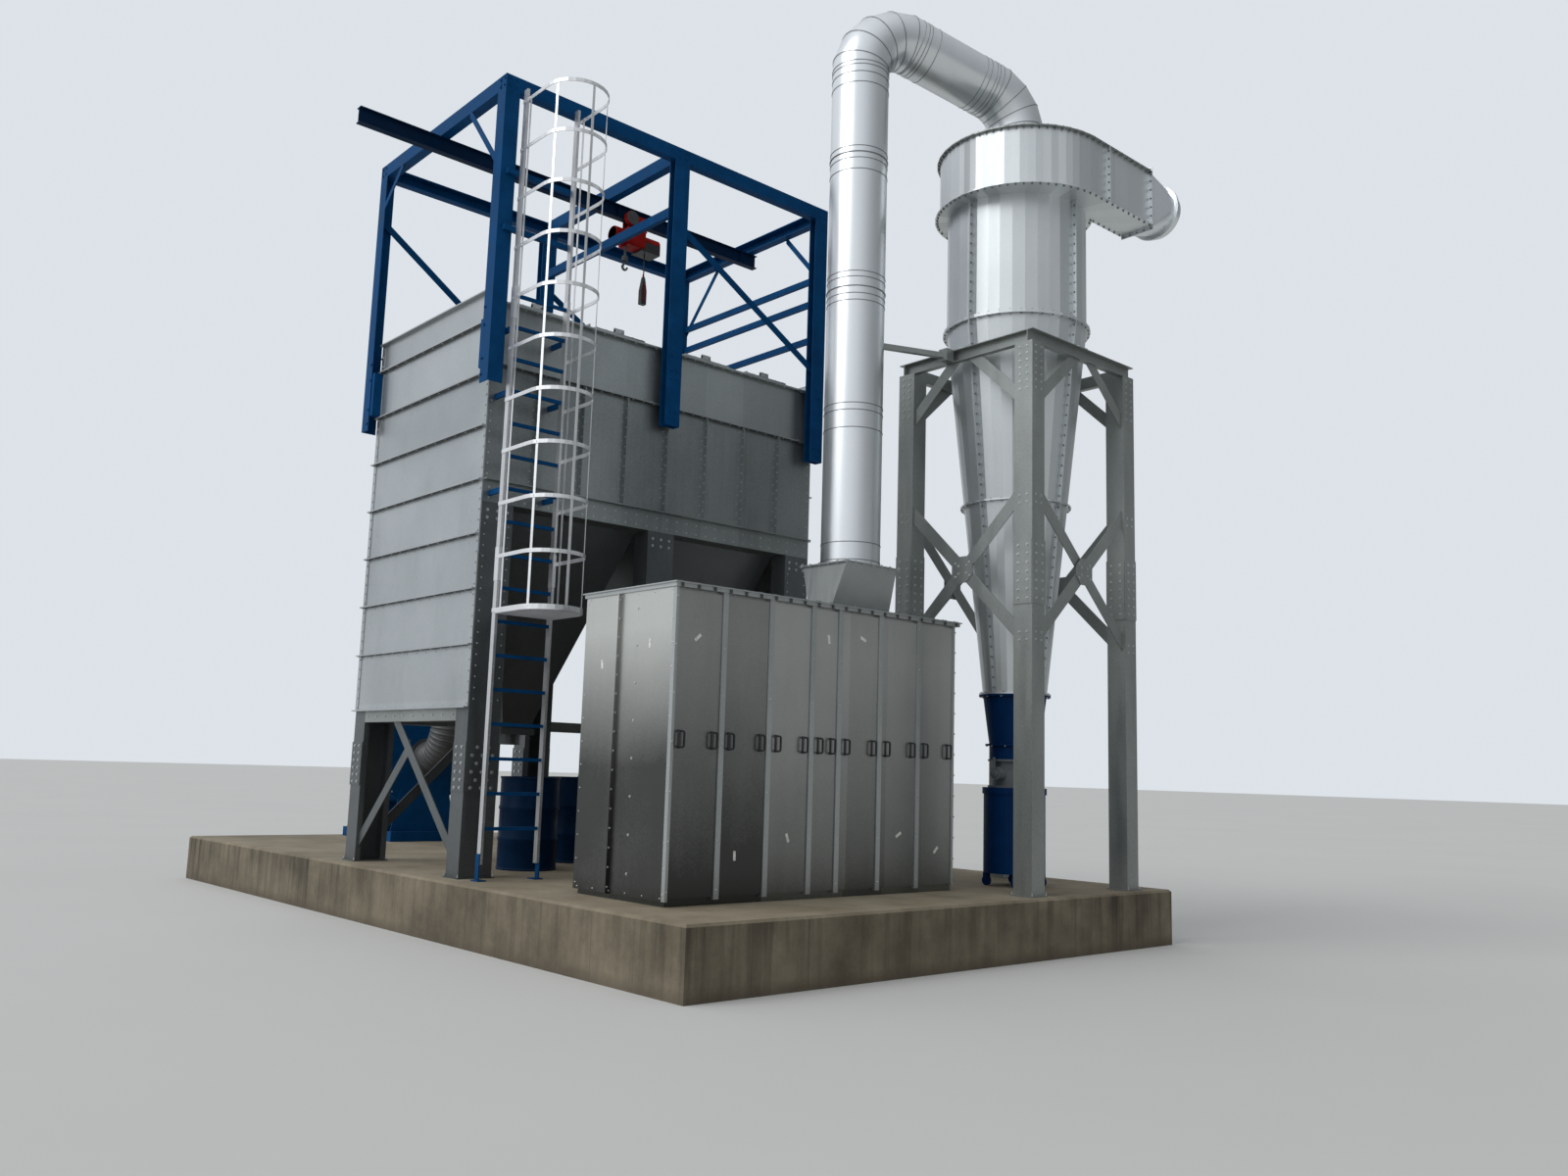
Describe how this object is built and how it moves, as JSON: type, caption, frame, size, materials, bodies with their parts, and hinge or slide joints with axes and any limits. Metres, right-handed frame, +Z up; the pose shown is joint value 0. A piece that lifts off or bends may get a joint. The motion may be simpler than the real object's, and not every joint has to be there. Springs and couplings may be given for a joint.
{
  "type": "activated carbon filter plant",
  "caption": "Activated carbon air filter plant: tall ribbed adsorber on legs, hoist frame, filter box, cyclone tower and round ducts on one concrete plinth.",
  "frame": {"origin": "middle of the concrete plinth's underside", "axes": "+X along the door face towards the cyclone, +Y along the plinth's long side towards the fan, +Z up"},
  "size_m": [6.805, 10.178, 8.9649],
  "materials": {
    "black_plastic": "matte",
    "blue_paint": "gloss",
    "concrete": "matte",
    "duct_sheet": "satin",
    "galvanised_frame": "satin",
    "galvanised_sheet": "satin",
    "grey_casting": "matte",
    "ladder_metal": "satin",
    "red_paint": "satin"
  },
  "bodies": {
    "plant": {"box_to_hopper_duct": "duct_sheet", "cage_hatch": "ladder_metal", "cage_hoops": "ladder_metal", "cage_straps": "ladder_metal", "carbon_drums": "blue_paint", "concrete_plinth": "concrete", "crossover_duct": "duct_sheet", "cyclone_barrel": "duct_sheet", "cyclone_braces": "galvanised_frame", "cyclone_cone": "duct_sheet", "cyclone_inlet": "duct_sheet", "cyclone_posts": "galvanised_frame", "cyclone_roof": "duct_sheet", "cyclone_scroll": "duct_sheet", "cyclone_top_ring": "galvanised_frame", "door_handles": "black_plastic", "door_panels": "galvanised_sheet", "door_stiles": "galvanised_sheet", "drop_elbow": "duct_sheet", "duct_strut": "galvanised_frame", "dust_bin": "blue_paint", "dust_hopper": "blue_paint", "dust_valve": "grey_casting", "end_wall_far": "galvanised_sheet", "end_wall_near": "galvanised_sheet", "fan_base": "blue_paint", "fan_housing": "blue_paint", "fan_inlet_duct": "duct_sheet", "fan_inlet_hose": "black_plastic", "fan_motor": "grey_casting", "filter_box_body": "galvanised_sheet", "filter_box_lid": "galvanised_sheet", "frame_cross_beams": "blue_paint", "frame_long_beams": "blue_paint", "guard_rails": "blue_paint", "hoist_frame_braces": "blue_paint", "hoist_frame_posts": "blue_paint", "hoppers": "galvanised_frame", "housing_legs": "galvanised_frame", "housing_roof": "galvanised_sheet", "ladder_brackets": "blue_paint", "ladder_rails": "ladder_metal", "ladder_rungs": "blue_paint", "leg_braces": "galvanised_frame", "monorail_beam": "blue_paint", "outlet_hood": "duct_sheet", "ring_beam_ends": "galvanised_frame", "ring_beam_sides": "galvanised_frame", "riser_duct": "duct_sheet", "roof_hatches": "galvanised_sheet", "side_wall_back": "galvanised_sheet", "side_wall_front": "galvanised_sheet", "top_elbow": "duct_sheet"},
    "hoist": {"hoist_trolley": "red_paint", "chain_hoist": "red_paint", "hoist_chain_box": "black_plastic", "hoist_hook": "grey_casting", "pendant_cable": "black_plastic", "pendant_control": "black_plastic"}
  },
  "joints": [
    {"name": "hoist_travel", "type": "slide", "parent": "plant", "child": "hoist", "axis": [1, 0, 0], "range_m": [-0.1, 1.4]}
  ]
}
